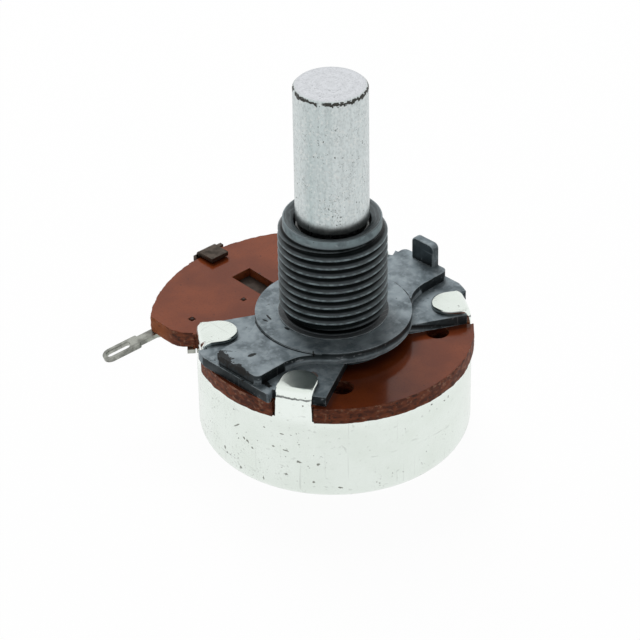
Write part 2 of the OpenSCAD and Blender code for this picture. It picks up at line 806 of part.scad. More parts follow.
// Two rivets with a head above the spring and one under the rotor
module wiper_rivets() {
    head_r = rivet_r + rivet_rim;
    color("goldenrod") for (a = RIVETS) translate(on(rivet_path, a)) {
        translate([0, 0, rotor_floor]) cylinder(r = rivet_r, h = spring_top - rotor_floor);
        translate([0, 0, spring_top]) cylinder(r1 = head_r, r2 = rivet_r, h = head_top_h);
        translate([0, 0, rotor_floor - head_low_h]) cylinder(r = head_r, h = head_low_h);
    }
}

can();
bushing_plate();
shaft();
retaining_ring();
thrust_washer();
bowed_washer();
wafer();
resistive_track();
track_end_left();
track_end_right();
collector_ring();
terminal_centre();
terminal_left();
terminal_right();
rotor();
wiper_spring();
track_contact();
collector_contact();
wiper_rivets();
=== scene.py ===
import math

import bmesh
import bpy
from mathutils import Matrix, Vector, noise


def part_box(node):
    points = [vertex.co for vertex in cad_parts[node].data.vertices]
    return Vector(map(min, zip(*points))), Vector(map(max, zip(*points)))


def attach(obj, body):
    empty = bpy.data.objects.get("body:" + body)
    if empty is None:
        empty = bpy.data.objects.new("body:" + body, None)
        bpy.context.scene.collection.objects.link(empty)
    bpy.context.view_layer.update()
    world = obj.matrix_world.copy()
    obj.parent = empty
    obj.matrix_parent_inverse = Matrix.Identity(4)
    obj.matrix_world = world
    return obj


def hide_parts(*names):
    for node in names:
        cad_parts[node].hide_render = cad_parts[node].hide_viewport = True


bl_info = {
    "name": "Rotary potentiometer",
    "version": (1, 0, 0),
    "blender": (4, 5, 0),
    "location": "View3D > Sidebar > Potentiometer",
    "description": "Dresses the CAD model of a panel potentiometer for a studio picture",
    "category": "Object",
}

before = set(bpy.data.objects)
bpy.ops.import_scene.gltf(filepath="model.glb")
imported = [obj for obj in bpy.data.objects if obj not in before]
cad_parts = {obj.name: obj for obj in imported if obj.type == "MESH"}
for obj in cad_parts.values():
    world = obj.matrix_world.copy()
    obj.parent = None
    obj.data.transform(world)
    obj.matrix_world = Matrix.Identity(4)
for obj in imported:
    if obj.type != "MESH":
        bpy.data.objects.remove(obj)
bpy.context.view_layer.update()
HOUSING = "housing"
SHAFT_BODY = "shaft_body"
MM = 0.001

# Points closer than MERGE are one point, and levels closer than LEVEL are one level
MERGE = 1e-6
LEVEL = 1e-7

# Faces that turn less than FLAT are joined, edges that turn more than SHARP are rounded,
# and edges that then still turn more than CREASED are shaded sharp
FLAT = math.radians(0.4)
SHARP = math.radians(28)
CREASED = math.radians(50)

# The casting's flange with its chamfer, and the radius past which the arms and base begin
FLANGE = 6.8 * MM
FLANGE_CHAMFER = 0.035 * MM
FLANGE_OUT = 7.1 * MM

# The locating lug and the wafer's outline lie past these radii
LUG_IN = 9 * MM
OUTLINE_IN = 11 * MM


def size(name, default, description):
    """A length that a user may change."""
    return bpy.props.FloatProperty(
        name=name, default=default, description=description, unit="LENGTH", precision=6)


def share(name, default, description):
    """A part of a whole that a user may change."""
    return bpy.props.FloatProperty(
        name=name, default=default, description=description, subtype="FACTOR", min=0, max=1)


def turn(name, degrees, description):
    """An angle that a user may change."""
    return bpy.props.FloatProperty(
        name=name, default=math.radians(degrees), description=description, subtype="ANGLE")


def colour(name, default, description):
    """A colour that a user may change."""
    return bpy.props.FloatVectorProperty(
        name=name, default=default, description=description, subtype="COLOR", size=3, min=0, max=1)


class StageSettings(bpy.types.PropertyGroup):
    camera_reach: size("Camera reach", 0.21762, "Distance in plan from the shaft's axis to the camera")
    camera_height: size("Camera height", 0.14352, "Height of the camera above the mounting face")
    camera_side: turn("Camera side", 138, "Direction of the camera around the shaft's axis")
    camera_aim: turn("Camera aim", 0.311, "How far the camera looks off the shaft's axis")
    camera_tilt: turn("Camera tilt", 33.606, "How far the camera looks down")
    camera_roll: turn("Camera roll", -0.963, "How far the camera leans")
    lens: bpy.props.FloatProperty(
        name="Lens", default=169.83, description="Focal length for a 36 mm wide sensor", unit="CAMERA")
    floor_side: size("Floor side", 2.4, "Side of the square floor")
    shadow_share: share("Shadow share", 0.035, "How much of the floor's own light the camera sees")
    front_light: share("Front light", 0.07, "Light that dull surfaces get from the camera's side of the room")
    back_light: share("Back light", 0.7, "Light that dull surfaces get from the far side of the room")
    lamp_side: size("Lamp side", 0.4, "Side of the square softbox")
    lamp_reach: size("Lamp reach", 0.8, "Distance of the softbox from the part")
    lamp_turn: turn("Lamp turn", 14, "Direction of the softbox, from straight behind the part")
    lamp_rise: turn("Lamp rise", 47, "Angle of the softbox above the floor")
    lamp_power: bpy.props.FloatProperty(
        name="Lamp power", default=5.0, description="Power of the softbox", unit="POWER")


class CastingSettings(bpy.types.PropertyGroup):
    pitch: size("Thread pitch", 0.79375 * MM, "Rise of the thread in one turn")
    crest: size("Crest radius", 4.7 * MM, "Radius over the thread's crests")
    root: size("Root radius", 4.27 * MM, "Radius in the thread's valleys")
    relief: size("Relief", 0.62 * MM, "Height of the plain neck under the thread")
    collar: size("Collar radius", 4.8 * MM, "Radius of the low collar at the bushing's foot")
    collar_height: size("Collar height", 0.12 * MM, "Height of the collar")
    thread_top: size("Thread top", 8.7 * MM, "Level at which the thread ends")
    top: size("Bushing top", 9.525 * MM, "Level of the bushing's end")
    bore: size("Bore radius", 3.225 * MM, "Radius of the bushing's bore")
    mouth: size("Mouth radius", 4.0 * MM, "Outer radius of the countersink in the bushing's end")
    mouth_foot: size("Mouth foot", 3.4 * MM, "Radius at which the countersink meets the bore")
    mouth_depth: size("Mouth depth", 0.3 * MM, "Depth of the countersink")
    edge: size("Edge", 0.13 * MM, "Width of the cast edges' rounding")
    lug_edge: size("Lug edge", 0.28 * MM, "Width of the rounding on the locating lug")
    metal: colour("Metal", (0.28, 0.335, 0.365), "Colour of the cast zinc")
    dark: colour("Dark metal", (0.1, 0.13, 0.147), "Colour of the zinc where it is dull")


class ShaftSettings(bpy.types.PropertyGroup):
    edge: size("Edge", 0.05 * MM, "Width of the rounding on the shaft's edges")
    metal: colour("Metal", (0.62, 0.675, 0.675), "Colour of the plated steel")
    burr: colour("Burr", (0.05, 0.05, 0.045), "Colour of the dirt along the end's burr")


class WaferSettings(bpy.types.PropertyGroup):
    edge: size("Edge", 0.07 * MM, "Width of the worn edges")
    rim: size("Rim", 0.22 * MM, "Width of the rounding along the board's outline")
    ragged: size("Ragged edge", 0.1 * MM, "How far the sheared wall stands in")
    board: colour("Board", (0.155, 0.031, 0.008), "Colour of the varnished paper board")
    bright: colour("Bright board", (0.225, 0.048, 0.012), "Colour of the board where it is lighter")
    fibre: colour("Fibre", (0.36, 0.17, 0.1), "Colour of the torn fibres on the wall")


class CanSettings(bpy.types.PropertyGroup):
    edge: size("Edge", 0.06 * MM, "Width of the rounding on the sheet's edges")
    tab_edge: size("Tab edge", 0.18 * MM, "Width of the rounding along the tabs' folds")
    bend: size("Bend", 0.75 * MM, "Outer radius of the tabs' fold")
    tin: colour("Tin", (0.83, 0.885, 0.845), "Colour of the bright plating")
    dull: colour("Dull tin", (0.76, 0.82, 0.765), "Colour of the plating where it is dull")


class TerminalSettings(bpy.types.PropertyGroup):
    edge: size("Edge", 0.07 * MM, "Width of the rounding on the punched edges")
    clip_edge: size("Clip edge", 0.15 * MM, "Width of the rounding on the centre terminal's band")
    tin: colour("Tin", (0.4, 0.41, 0.37), "Colour of the tinned outer terminals")
    tarnish: colour("Tarnish", (0.09, 0.068, 0.052), "Colour of the tarnished centre terminal")


def put(tree, kind, sockets=None, **settings):
    """A new shader node with its settings, whose inputs take a value or a link."""
    item = tree.nodes.new("ShaderNode" + kind)
    for key, value in settings.items():
        setattr(item, key, value)
    for key, value in (sockets or {}).items():
        if isinstance(value, bpy.types.NodeSocket):
            tree.links.new(value, item.inputs[key])
        else:
            item.inputs[key].default_value = value
    return item


def maths(tree, operation, *values):
    """One sum on values that change over the surface."""
    return put(tree, "Math", dict(enumerate(values)), operation=operation).outputs[0]


def vector(tree, operation, *values):
    """One sum on vectors, whose result is a vector."""
    return put(tree, "VectorMath", dict(enumerate(values)), operation=operation).outputs[0]


def length(tree, operation, *values):
    """One sum on vectors, whose result is a number."""
    return put(tree, "VectorMath", dict(enumerate(values)), operation=operation).outputs["Value"]


def times(tree, first, *others):
    """The product of masks and factors."""
    for value in others:
        first = maths(tree, "MULTIPLY", first, value)
    return first


def most(tree, first, *others):
    """The highest of some masks."""
    for value in others:
        first = maths(tree, "MAXIMUM", first, value)
    return first


def lift(tree, value, factor, plus):
    """A value times a factor, plus a second value."""
    return maths(tree, "MULTIPLY_ADD", value, factor, plus)


def remap(tree, value, low, high, to_low=0.0, to_high=1.0):
    """A value between two levels brought to two others, with a soft start and end."""
    item = put(tree, "MapRange", {0: value, 1: low, 2: high, 3: to_low, 4: to_high},
               interpolation_type="SMOOTHSTEP")
    return item.outputs[0]


def between(tree, value, low, high, soft):
    """Mask of the values between two levels, with soft ends."""
    return times(tree, remap(tree, value, low, low + soft), remap(tree, value, high, high - soft))


def split(tree, point):
    """The X, Y and Z of a vector."""
    return put(tree, "SeparateXYZ", {0: point}).outputs


def grain(tree, point, scale, detail=3.0, stretch=None):
    """Noise at a point in millimetres, with scale in features a millimetre."""
    if stretch:
        point = put(tree, "Mapping", {"Vector": point, "Scale": stretch}).outputs[0]
    return put(tree, "TexNoise", {"Vector": point, "Scale": scale, "Detail": detail}).outputs[0]


def patches(tree, point, scale, detail, low, high, to_low=0.0, to_high=1.0):
    """Mask of soft patches: noise brought from two of its levels to two others."""
    return remap(tree, grain(tree, point, scale, detail), low, high, to_low, to_high)


def plan_distance(tree, point):
    """Distance of a point from the shaft's axis."""
    return length(tree, "LENGTH", vector(tree, "MULTIPLY", point, (1, 1, 0)))


def blend(tree, mask, a, b):
    """Two colours mixed by a mask."""
    sockets = {0: mask}
    for index, value in ((6, a), (7, b)):
        sockets[index] = value if isinstance(value, bpy.types.NodeSocket) else (*value, 1)
    return put(tree, "Mix", sockets, data_type="RGBA").outputs[2]


def shaded(tone, *factors):
    """A colour made darker or lighter, by one factor or one for each channel."""
    if len(factors) == 1:
        factors *= 3
    return tuple(min(1, part * factor) for part, factor in zip(tone, factors))


def shader_group(name, inputs, output):
    """An empty node group with named inputs and one output."""
    group = bpy.data.node_groups.new(name, "ShaderNodeTree")
    for label, default in inputs.items():
        kind = "Vector" if isinstance(default, tuple) else "Float"
        socket = group.interface.new_socket(label, in_out="INPUT", socket_type="NodeSocket" + kind)
        socket.default_value = default
    group.interface.new_socket(output, in_out="OUTPUT", socket_type="NodeSocketFloat")
    return group, group.nodes.new("NodeGroupInput").outputs, group.nodes.new("NodeGroupOutput").inputs[0]


def use(tree, group_name, **values):
    """One of the shared effects, placed in a material with its own values."""
    item = tree.nodes.new("ShaderNodeGroup")
    item.node_tree = bpy.data.node_groups[group_name]
    for key, value in values.items():
        socket = item.inputs[key.replace("_", " ").capitalize()]
        if isinstance(value, bpy.types.NodeSocket):
            tree.links.new(value, socket)
        else:
            socket.default_value = value
    return item.outputs[0]


def make_specks():
    """Round dots of many sizes, crowded in patches."""
    g, i, out = shader_group(
        "Specks", {"Point": (0.0, 0.0, 0.0), "Scale": 1.0, "Reach": 0.3, "Cluster": 0.3}, "Mask")
    warp = put(g, "TexNoise", {"Vector": i["Point"], "Scale": 3.1, "Detail": 2.0}).outputs[1]
    moved = vector(g, "MULTIPLY_ADD", warp, (0.35, 0.35, 0.35), i["Point"])
    cells = put(g, "TexVoronoi", {"Vector": moved, "Scale": i["Scale"]})
    chance = put(g, "SeparateColor", {0: cells.outputs["Color"]}).outputs[0]
    crowd = patches(g, i["Point"], i["Cluster"], 2.0, 0.42, 0.66)
    radius = times(g, maths(g, "POWER", chance, 2.0), i["Reach"], crowd)
    g.links.new(maths(g, "LESS_THAN", cells.outputs["Distance"], radius), out)


def make_scratches():
    """Fine lines in three directions."""
    g, i, out = shader_group(
        "Scratches", {"Point": (0.0, 0.0, 0.0), "Scale": 2.0, "Amount": 0.5}, "Mask")
    directions = (((0.3, 0.5, 0.2), (0.06, 1, 1)), ((1.1, -0.4, 1.3), (1, 0.05, 1)),
                  ((0.1, 0.2, 2.1), (1, 1, 0.05)))
    lines = []
    for number, (angles, stretch) in enumerate(directions):
        turned = put(g, "Mapping", {"Vector": i["Point"], "Rotation": angles, "Scale": stretch,
                                    "Location": (number * 7.3, 0, 0)}).outputs[0]
        fine = put(g, "TexNoise", {"Vector": turned, "Scale": i["Scale"], "Detail": 1.0}).outputs[0]
        least = maths(g, "SUBTRACT", 0.78, times(g, i["Amount"], 0.16))
        lines.append(remap(g, fine, least, 0.8))
    g.links.new(most(g, *lines), out)


def make_stain():
    """One long or round mark with a ragged outline, at a place of its own."""
    g, i, out = shader_group(
        "Stain", {"Point": (0.0, 0.0, 0.0), "Centre": (0.0, 0.0, 0.0), "Reach": (1.0, 1.0, 1.0),
                  "Turn": (0.0, 0.0, 0.0), "Ragged": 0.3, "Fineness": 2.0}, "Mask")
    offset = vector(g, "SUBTRACT", i["Point"], i["Centre"])
    laid = put(g, "VectorRotate", {"Vector": offset, "Rotation": i["Turn"]},
               rotation_type="EULER_XYZ").outputs[0]
    away = length(g, "LENGTH", vector(g, "DIVIDE", laid, i["Reach"]))
    rough = grain(g, i["Point"], i["Fineness"], 4.0)
    spread = lift(g, maths(g, "SUBTRACT", rough, 0.5), times(g, i["Ragged"], 6.0), away)
    g.links.new(remap(g, spread, 1.15, 0.85), out)


def make_crevice_dirt_and_shade():
    """Dirt and painted shade where surfaces meet: a mask that is high where nearby surfaces hem a point in."""
    g, i, out = shader_group("Crevice dirt and shade", {"Reach": 0.0005, "Depth": 0.5}, "Mask")
    open_share = put(g, "AmbientOcclusion", {"Distance": i["Reach"]}, samples=4).outputs["AO"]
    g.links.new(remap(g, open_share, i["Depth"], 0.15), out)


def make_worn_edge():
    """Wear along edges, where a rounded normal departs from the surface's own; on the casting it also lays
    painted highlights.
    """
    g, i, out = shader_group("Worn edge", {"Reach": 0.0001, "Gain": 4.0}, "Mask")
    round_normal = put(g, "Bevel", {"Radius": i["Reach"]}, samples=4).outputs[0]
    own_normal = put(g, "NewGeometry").outputs["Normal"]
    along = length(g, "DOT_PRODUCT", round_normal, own_normal)
    g.links.new(maths(g, "MINIMUM", times(g, maths(g, "SUBTRACT", 1.0, along), i["Gain"]), 1.0), out)


# Dark marks on the casting in millimetres: centre, reach along X, Y and Z, turn and raggedness
STAINS = (
    ((11.45, -1.2, -0.2), (0.38, 1.3, 0.8), 0.1, 0.55), ((11.65, 1.5, -0.2), (0.25, 1.4, 0.8), 0.2, 0.55),
    ((9.6, 0.28, -0.15), (0.42, 0.2, 0.4), 0.1, 0.15), ((4.9, -2.9, 0.0), (0.1, 0.45, 0.3), 0.25, 0.12),
    ((5.45, -2.75, 0.0), (0.1, 0.3, 0.3), -0.2, 0.12), ((4.93, -0.5, 0.0), (0.12, 0.3, 0.3), 0.0, 0.15),
    ((10.8, -1.7, -0.15), (0.05, 0.6, 0.3), -0.7, 0.1), ((5.8, 3.85, -0.15), (0.08, 0.45, 0.3), 0.6, 0.1),
    ((10.6, 3.2, -1.1), (0.25, 0.7, 0.5), 0.1, 0.4),
)

# Dark pits in the can's wall in millimetres: centre, reach along Y and Z, and turn
PITS = (
    ((11.93, 0.78, -6.02), (0.38, 0.06), -0.7), ((11.85, 1.55, -7.02), (0.19, 0.08), 0.6),
    ((11.80, 1.93, -7.16), (0.17, 0.13), 0.5), ((11.69, 2.44, -7.68), (0.14, 0.08), 0.3),
    ((11.09, 4.43, -6.72), (0.14, 0.08), 0), ((10.62, 5.50, -6.86), (0.26, 0.06), 0.2),
    ((10.03, 6.51, -7.82), (0.19, 0.10), 0.3), ((9.04, 7.82, -7.88), (0.10, 0.13), 0.4),
    ((10.62, 5.47, -9.34), (0.17, 0.10), 0.3), ((9.28, 7.53, -9.76), (0.11, 0.10), 0),
    ((7.70, 9.14, -10.28), (0.12, 0.09), 0.2), ((11.43, 3.47, -10.38), (0.07, 0.24), 0),
    ((11.90, 1.07, -10.32), (0.14, 0.10), 0.2), ((10.74, 5.23, -5.22), (0.15, 0.05), 0),
    ((11.38, 3.66, -5.00), (0.09, 0.08), 0), ((11.92, -0.96, -9.26), (0.10, 0.16), 0.2),
    ((9.57, 6.84, -2.02), (0.07, 0.13), 0.2),
)
PIT_DEPTH = 0.3

# Colours of the wear and dirt on each material, and of the painted shade and painted highlights laid on some of
# them
PLATING = {
    "scratch": (0.34, 0.36, 0.34), "speck": (0.1, 0.1, 0.09), "scuff": (0.2, 0.215, 0.2),
    "pit": (0.07, 0.065, 0.045), "cut rim": (0.09, 0.1, 0.1), "crease": (0.07, 0.075, 0.075),
}
ZINC = {
    "rub": (0.36, 0.42, 0.45), "grain": (0.3, 0.35, 0.38), "glint": (0.45, 0.5, 0.52),
    "wall": (0.01, 0.0125, 0.013), "thread": (0.03, 0.042, 0.044), "valley_shade": (0.003, 0.004, 0.004),
    "crest": (0.22, 0.275, 0.29), "pilot": (0.17, 0.215, 0.225), "mouth": (0.035, 0.042, 0.043),
    "mouth ring": (0.14, 0.17, 0.18), "foot": (0.012, 0.015, 0.016), "collar rim highlight": (0.24, 0.28, 0.3),
    "rubbed edge": (0.4, 0.45, 0.47), "dirt": (0.01, 0.012, 0.013), "spot": (0.02, 0.02, 0.02),
    "dot": (0.03, 0.032, 0.033), "scratch": (0.4, 0.43, 0.45), "stain": (0.016, 0.015, 0.014),
    "rust": (0.1, 0.04, 0.02),
}
STEEL = {
    "light": (0.72, 0.74, 0.72), "face": (0.72, 0.74, 0.77), "face ring": (0.58, 0.6, 0.625),
    "face mottle": (0.42, 0.43, 0.44), "speck": (0.08, 0.09, 0.08), "grease": (0.11, 0.11, 0.105),
}
PAPER = {
    "speck": (0.03, 0.012, 0.008), "dark layer": (0.09, 0.02, 0.007), "light layer": (0.24, 0.062, 0.022),
    "clear": (0.42, 0.12, 0.035), "gap": (0.025, 0.008, 0.004),
}
BRASS = {
    "scratch": (0.16, 0.15, 0.13), "edge": (0.1, 0.1, 0.09), "staked": (0.03, 0.011, 0.006),
    "pale speck": (0.6, 0.58, 0.55), "strip": (0.035, 0.026, 0.022),
}


class Finish:
    """A material under construction: its nodes, its point in millimetres, its shader and its colour."""

    def __init__(self, name, **constants):
        self.material = bpy.data.materials.new(name)
        self.material.use_nodes = True
        self.tree = self.material.node_tree
        self.shader = self.tree.nodes["Principled BSDF"]
        coordinates = put(self.tree, "TexCoord")
        self.normal = coordinates.outputs["Normal"]
        self.point = put(self.tree, "VectorMath", {0: coordinates.outputs["Object"], "Scale": 1 / MM},
                         operation="SCALE").outputs[0]
        self.colour = None
        for label, value in constants.items():
            self.shader.inputs[label.replace("_", " ")].default_value = value

    def lay(self, tone, mask, amount=None):
        """Covers the colour so far with another where a mask is, as far as the amount goes."""
        if amount is not None:
            mask = times(self.tree, mask, amount)
        self.colour = blend(self.tree, mask, self.colour, tone)

    def done(self, rough, height, strength, distance):
        """Links the colour, the roughness and a height in millimetres to the shader."""
        bump = put(self.tree, "Bump", {"Height": height, "Strength": strength, "Distance": distance * MM})
        for label, value in (("Base Color", self.colour), ("Roughness", rough), ("Normal", bump.outputs[0])):
            self.tree.links.new(value, self.shader.inputs[label])
        return self.material


def tin_plate(settings):
    """Bright plating: cloudy, pitted and scuffed on the wall, dark at cut rims and the tabs' folds."""
    f = Finish("bright_tin_plate", Metallic=1.0)
    t, p = f.tree, f.point
    tin, dull = tuple(settings.tin), tuple(settings.dull)
    z = split(t, p)[2]
    upright = split(t, f.normal)[2]
    radial = plan_distance(t, p)
    tabs = remap(t, z, -2.2, -2.0)
    wall = remap(t, z, -3.0, -4.5)
    flat = times(t, remap(t, upright, 0.6, 0.9), tabs)
    cloud = patches(t, p, 0.35, 4.0, 0.35, 0.7)
    fine = grain(t, p, 2.2, 5.0)
    f.colour = blend(t, times(t, lift(t, cloud, 0.5, 0.5), most(t, wall, flat)), tin, dull)
    f.lay(dull, remap(t, fine, 0.5, 0.75, 0.0, 0.35))
    lines = use(t, "Scratches", point=p, scale=2.6, amount=0.7)
    f.lay(PLATING["scratch"], lines, 0.25)
    spots = use(t, "Specks", point=p, scale=1.3, reach=0.18, cluster=0.28)
    dots = use(t, "Specks", point=p, scale=4.0, reach=0.28, cluster=0.4)
    f.lay(PLATING["speck"], most(t, spots, times(t, dots, 0.7)))
    worn_side = length(t, "DOT_PRODUCT", p, (0.062, -0.056, -0.06))
    worn = times(t, remap(t, worn_side, 0.7, 1.5), wall, patches(t, p, 0.5, 4.0, 0.44, 0.62))
    scuffs = patches(t, p, 4.6, 6.0, 0.56, 0.68)
    f.lay(PLATING["scuff"], times(t, scuffs, worn), 0.65)
    pits = most(t, *(use(t, "Stain", point=p, centre=centre, reach=(PIT_DEPTH, *reach), turn=(angle, 0, 0),
                         ragged=0.45, fineness=6.0) for centre, reach, angle in PITS))
    f.lay(PLATING["pit"], pits, 0.75)
    cut_rim = times(t, tabs, remap(t, radial, 11.4, 11.0), remap(t, maths(t, "ABSOLUTE", upright), 0.75, 0.4))
    f.lay(PLATING["cut rim"], cut_rim, 0.8)
    crease = times(t, between(t, lift(t, fine, 0.4, z), -1.34, -1.06, 0.1), remap(t, radial, 11.4, 11.6))
    f.lay(PLATING["crease"], crease, patches(t, p, 1.1, 4.0, 0.3, 0.5, 0.35, 0.9))
    rough = lift(t, fine, 0.1, lift(t, most(t, wall, flat), 0.16, 0.03))
    return f.done(rough, lift(t, fine, 0.5, lines), 0.1, 0.01)


def cast_zinc(settings):
    """Blue-grey cast zinc. Painted shade makes the thread's roots black and the thread, the walls and the
    bushing's foot dark; painted highlights make the crests, the pilot and the collar's rim pale, and the worn
    edges pale too.
    """
    f = Finish("cast_zinc", IOR=1.45)
    t, p = f.tree, f.point
    z = split(t, p)[2]
    upright = split(t, f.normal)[2]
    radial = plan_distance(t, p)
    threaded = times(t, between(t, z, 0.12, 8.8, 0.1), remap(t, radial, 5.0, 4.85))
    steep = remap(t, maths(t, "ABSOLUTE", upright), 0.6, 0.3)
    wall = times(t, steep, maths(t, "SUBTRACT", 1.0, threaded))
    cloud = patches(t, p, 0.45, 5.0, 0.36, 0.66)
    fine = grain(t, p, 3.5, 6.0)
    f.colour = blend(t, cloud, tuple(settings.metal), tuple(settings.dark))
    f.lay(ZINC["rub"], patches(t, p, 1.6, 6.0, 0.5, 0.68), 0.5)
    f.lay(ZINC["grain"], remap(t, fine, 0.5, 0.72, 0.0, 0.4))
    f.lay(ZINC["glint"], patches(t, p, 6.0, 3.0, 0.66, 0.72), 0.35)
    # Painted shade: steep faces off the thread are laid nearly black, a little less on the lug above the
    # mounting face
    f.lay(ZINC["wall"], wall, remap(t, z, 0.0, 0.4, 0.9, 0.72))

    # Painted shade: the threaded band is laid dark all over
    f.lay(ZINC["thread"], threaded, 0.8)
    # Painted shade: the thread's roots, where light doesn't reach, are laid nearly black
    valley_shade = times(t, threaded, remap(t, radial, 4.6, 4.36))
    f.lay(ZINC["valley_shade"], valley_shade)
    # Painted highlight, partly worn metal: the crests are laid pale in broken lines
    crest = times(t, threaded, remap(t, radial, 4.6, 4.69), patches(t, p, 2.0, 5.0, 0.38, 0.6, 0.3, 0.95))
    f.lay(ZINC["crest"], crest)
    above = remap(t, z, 8.72, 8.82)
    # Painted highlight: a pale band round the plain pilot above the thread
    pilot = times(t, above, remap(t, radial, 4.1, 4.16))
    f.lay(ZINC["pilot"], pilot, patches(t, p, 1.2, 5.0, 0.35, 0.6, 0.4, 0.95))
    mouth = times(t, above, remap(t, radial, 4.16, 4.1))
    f.lay(ZINC["mouth"], mouth, 0.85)
    rings = maths(t, "SINE", times(t, lift(t, grain(t, p, 0.9, 3.0), 0.6, radial), 21.0))
    f.lay(ZINC["mouth ring"], mouth, remap(t, rings, 0.2, 1.0, 0.0, 0.5))
    # Painted shade: a dark band at the bushing's foot, under the thread
    foot = times(t, between(t, z, 0.02, 0.3, 0.04), remap(t, radial, 4.85, 4.8))
    f.lay(ZINC["foot"], foot, 0.85)
    # Painted highlight: a pale line along the collar's rim
    f.lay(ZINC["collar rim highlight"], foot, remap(t, radial, 4.74, 4.79))

    # Worn edges with painted highlights: a pale colour in broken patches along the edges
    edge = use(t, "Worn edge", reach=0.00013, gain=4.0)
    rubbed_highlight = times(t, edge, patches(t, p, 1.3, 4.0, 0.34, 0.56))
    f.lay(ZINC["rubbed edge"], rubbed_highlight, 0.7)
    seam = times(t, between(t, radial, 6.79, 6.99, 0.05), between(t, z, -0.4, -0.02, 0.04))
    seam = times(t, seam, remap(t, upright, 0.5, 0.8), patches(t, p, 0.8, 4.0, 0.36, 0.5))
    f.lay(ZINC["dirt"], seam, 0.9)
    # Painted shade with dirt: the dirt colour is laid in creases and recesses, where nearby surfaces hem the
    # zinc in
    dirt_and_crevice_shade = use(t, "Crevice dirt and shade", reach=0.0005, depth=0.55)
    f.lay(ZINC["dirt"], dirt_and_crevice_shade, 0.8)
    f.lay(ZINC["spot"], use(t, "Specks", point=p, scale=2.0, reach=0.18, cluster=0.4), 0.8)
    f.lay(ZINC["dot"], use(t, "Specks", point=p, scale=4.5, reach=0.3, cluster=0.6), 0.6)
    lines = use(t, "Scratches", point=p, scale=3.0, amount=0.7)
    f.lay(ZINC["scratch"], lines, maths(t, "SUBTRACT", 0.3, times(t, threaded, 0.3)))
    stains = most(t, *(use(t, "Stain", point=p, centre=centre, reach=reach, turn=(0, 0, angle), ragged=ragged,
                           fineness=3.0) for centre, reach, angle, ragged in STAINS))
    f.lay(ZINC["stain"], stains, 0.92)
    rust = use(t, "Stain", point=p, centre=(6.8, 5.0, -1.1), reach=(0.25, 0.45, 0.4), turn=(0, 0, 0.3),
               ragged=0.3, fineness=3.0)
    f.lay(ZINC["rust"], rust, 0.7)

    rough = lift(t, cloud, 0.1, lift(t, fine, 0.25, 0.28))
    # Where shade is painted, and at the stains and the seam, the zinc is metallic; on the crests and the worn,
    # highlighted edges partly so
    deep = most(t, valley_shade, dirt_and_crevice_shade, wall, stains, seam)
    metallic = most(t, deep, times(t, most(t, rubbed_highlight, crest), 0.7))
    t.links.new(metallic, f.shader.inputs["Metallic"])
    return f.done(rough, fine, 0.35, 0.02)


def turned_steel(settings):
    """Plated steel: streaked and mottled along the shaft, with painted shade on one side, ringed on its end,
    with a dirty burr, and darker towards its foot.
    """
    f = Finish("turned_steel", Metallic=1.0)
    t, p = f.tree, f.point
    x, y, z = split(t, p)
    radial = plan_distance(t, p)
    metal = tuple(settings.metal)
    top = remap(t, z, 22.15, 22.2)
    streaks = grain(t, p, 3.4, 5.0, stretch=(1, 1, 0.05))
    broad = remap(t, grain(t, p, 0.55, 3.0, stretch=(1, 1, 0.12)), 0.4, 0.66)
    mottle = remap(t, grain(t, p, 5.5, 5.0, stretch=(1, 1, 0.6)), 0.45, 0.68)
    f.colour = blend(t, remap(t, streaks, 0.42, 0.7, 0.0, 0.3), metal, shaded(metal, 0.74))
    # Painted shade: a band down one side of the shaft, where y - x lies between -3.6 and 1 mm, is laid darker
    # in broad patches
    shaded_side = times(t, between(t, maths(t, "SUBTRACT", y, x), -3.6, 1.0, 1.8), lift(t, broad, 0.5, 0.3))
    f.lay(shaded(metal, 0.62, 0.72, 0.72), shaded_side, 0.8)
    f.lay(shaded(metal, 0.6), mottle, 0.38)
    f.lay(STEEL["light"], patches(t, p, 4.0, 6.0, 0.52, 0.66, 0.0, 0.5))
    waves = maths(t, "SINE", times(t, radial, 7.0))
    face = blend(t, remap(t, waves, -1.0, 1.0, 0.0, 0.3), STEEL["face"], STEEL["face ring"])
    f.lay(blend(t, times(t, mottle, 0.3), face, STEEL["face mottle"]), top)
    for fineness, reach, crowd, depth in (
            (1.9, 0.26, 0.45, 0.85), (4.0, 0.42, 0.4, 0.75), (8.0, 0.5, 0.6, 0.55)):
        specks = use(t, "Specks", point=p, scale=fineness, reach=reach, cluster=crowd)
        f.lay(STEEL["speck"], specks, lift(t, top, -0.6 * depth, depth))
    line = between(t, lift(t, grain(t, p, 3.0, 6.0), 0.8, z), 22.2, 22.52, 0.05)
    f.lay(tuple(settings.burr), times(t, line, remap(t, z, 22.15, 22.09)), patches(t, p, 0.9, 5.0, 0.31, 0.42))
    # The shaft is laid darker towards its foot, below about 10.75 mm
    grease = remap(t, lift(t, grain(t, p, 1.5, 4.0), 0.4, z), 10.75, 10.0)
    f.lay(STEEL["grease"], grease, 0.85)
    rings = maths(t, "SINE", times(t, radial, 16.0))
    rough = lift(t, streaks, 0.2, lift(t, mottle, 0.12, 0.2))
    return f.done(rough, maths(t, "ADD", times(t, rings, top, 0.25), mottle), 0.1, 0.01)


